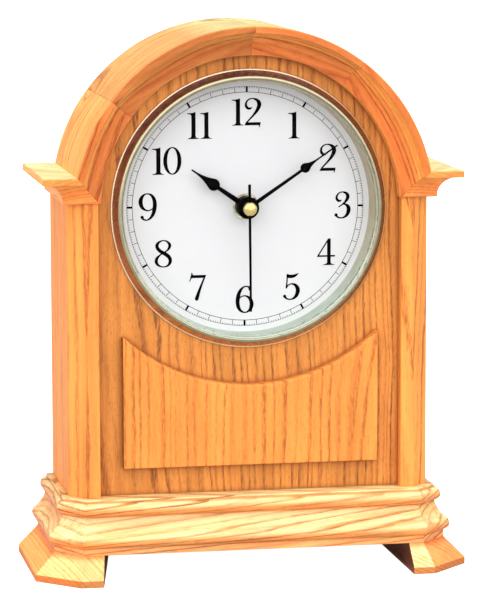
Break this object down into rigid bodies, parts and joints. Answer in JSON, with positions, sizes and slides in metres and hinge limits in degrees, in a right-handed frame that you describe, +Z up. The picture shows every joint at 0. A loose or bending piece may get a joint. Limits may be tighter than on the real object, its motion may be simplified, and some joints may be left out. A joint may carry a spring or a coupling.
{
  "type": "wooden desk clock",
  "caption": "Arched wooden desk clock with moulded hood, recessed front, metal bezel, numbered dial, three hands on a quartz train, moulded plinth and flared feet.",
  "frame": {"origin": "middle of the clock's footprint on the floor plane under the feet", "axes": "+X to the right as seen from the front, +Y from the dial towards the back, +Z up"},
  "size_m": [0.205, 0.0878, 0.2566],
  "materials": {
    "case_wood": "lacquered honey oak, vertical grain",
    "hood_wood": "lacquered honey oak, grain along each segment",
    "base_wood": "lacquered honey oak, horizontal grain",
    "inner_wood": "plain oiled wood",
    "brass": "polished and lacquered",
    "glass": "clear, polished",
    "dial_white": "satin white print",
    "hand_black": "satin black",
    "black_rubber": "matte",
    "movement_plastic": "fine moulded texture",
    "wheel_plastic": "moulded",
    "steel": "bright",
    "copper_wire": "enamelled winding",
    "board": "printed board",
    "cell": "plain sleeve"
  },
  "bodies": {
    "case": {"left_side": "case_wood", "right_side": "case_wood", "front_panel": "case_wood", "raised_tablet": "case_wood", "arch_lower_right": "hood_wood", "arch_upper_right": "hood_wood", "arch_upper_left": "hood_wood", "arch_lower_left": "hood_wood", "left_capital": "hood_wood", "right_capital": "hood_wood", "plinth": "base_wood", "left_foot": "base_wood", "right_foot": "base_wood", "left_cleat": "inner_wood", "right_cleat": "inner_wood", "glue_blocks": "inner_wood", "back_panel": "inner_wood", "bezel": "brass", "fixing_nut": "brass", "hinge_fixed_leaves": "brass", "back_panel_screws": "brass", "hinge_fixed_screws": "brass", "turn_button_screw": "brass", "dial_screws": "brass", "glass": "glass", "dial_plate": "dial_white", "gasket": "black_rubber", "front_housing": "movement_plastic", "rear_cover": "movement_plastic", "train_bridge": "movement_plastic", "hinge_pins": "steel", "stator": "steel", "coil_core": "steel", "crystal": "steel", "contact_positive": "steel", "contact_negative": "steel", "coil": "copper_wire", "circuit_board": "board", "battery": "cell"},
    "second_hand_train": {"second_hand": "hand_black", "hand_cap": "brass", "seconds_wheel": "steel"},
    "fifth_wheel": {"fifth_wheel": "wheel_plastic"},
    "rotor": {"rotor": "wheel_plastic"},
    "third_wheel": {"third_wheel": "wheel_plastic"},
    "centre_wheel": {"centre_wheel": "wheel_plastic"},
    "minute_hand_arbor": {"minute_hand": "hand_black", "minute_arbor": "steel"},
    "minute_wheel": {"minute_wheel": "wheel_plastic"},
    "hour_hand_pipe": {"hour_hand": "hand_black", "hour_wheel": "wheel_plastic"},
    "set_knob": {"set_knob": "wheel_plastic"},
    "back_door": {"back_door": "inner_wood", "hinge_door_leaves": "brass", "hinge_door_screws": "brass"},
    "turn_button": {"turn_button": "brass"}
  },
  "joints": [
    {"name": "seconds", "type": "hinge", "parent": "case", "child": "second_hand_train", "pos_m": [0, -0.0029, 0.1711], "axis": [0, 1, 0], "continuous": true},
    {"name": "fifth", "type": "hinge", "parent": "case", "child": "fifth_wheel", "pos_m": [0.00862, -0.0029, 0.16958], "axis": [0, 1, 0], "continuous": true},
    {"name": "rotor_turn", "type": "hinge", "parent": "case", "child": "rotor", "pos_m": [0.01566, -0.0029, 0.17215], "axis": [0, 1, 0], "continuous": true},
    {"name": "third", "type": "hinge", "parent": "case", "child": "third_wheel", "pos_m": [0.0045, -0.0029, 0.17889], "axis": [0, 1, 0], "continuous": true},
    {"name": "centre", "type": "hinge", "parent": "case", "child": "centre_wheel", "pos_m": [0, -0.0029, 0.1711], "axis": [0, 1, 0], "continuous": true},
    {"name": "minute", "type": "hinge", "parent": "case", "child": "minute_hand_arbor", "pos_m": [0, -0.0029, 0.1711], "axis": [0, 1, 0], "continuous": true},
    {"name": "minute_wheel_turn", "type": "hinge", "parent": "case", "child": "minute_wheel", "pos_m": [-0.009, -0.0029, 0.1711], "axis": [0, 1, 0], "continuous": true},
    {"name": "hour", "type": "hinge", "parent": "case", "child": "hour_hand_pipe", "pos_m": [0, -0.0029, 0.1711], "axis": [0, 1, 0], "continuous": true},
    {"name": "set", "type": "hinge", "parent": "case", "child": "set_knob", "pos_m": [-0.01536, -0.0029, 0.17746], "axis": [0, 1, 0], "continuous": true},
    {"name": "door", "type": "hinge", "parent": "case", "child": "back_door", "pos_m": [-0.042, 0.0418, 0.168], "axis": [0, 0, 1], "range_deg": [0, 110]},
    {"name": "button", "type": "hinge", "parent": "case", "child": "turn_button", "pos_m": [0.049, 0.0409, 0.168], "axis": [0, 1, 0], "range_deg": [0, 90]}
  ],
  "couplings": [
    {"joint": "fifth", "follows": "seconds", "ratio": -6},
    {"joint": "rotor_turn", "follows": "seconds", "ratio": 30},
    {"joint": "third", "follows": "seconds", "ratio": -0.125},
    {"joint": "centre", "follows": "seconds", "ratio": 0.016667},
    {"joint": "minute_wheel_turn", "follows": "minute", "ratio": -0.33333},
    {"joint": "hour", "follows": "minute", "ratio": 0.083333},
    {"joint": "set", "follows": "minute", "ratio": 1}
  ]
}
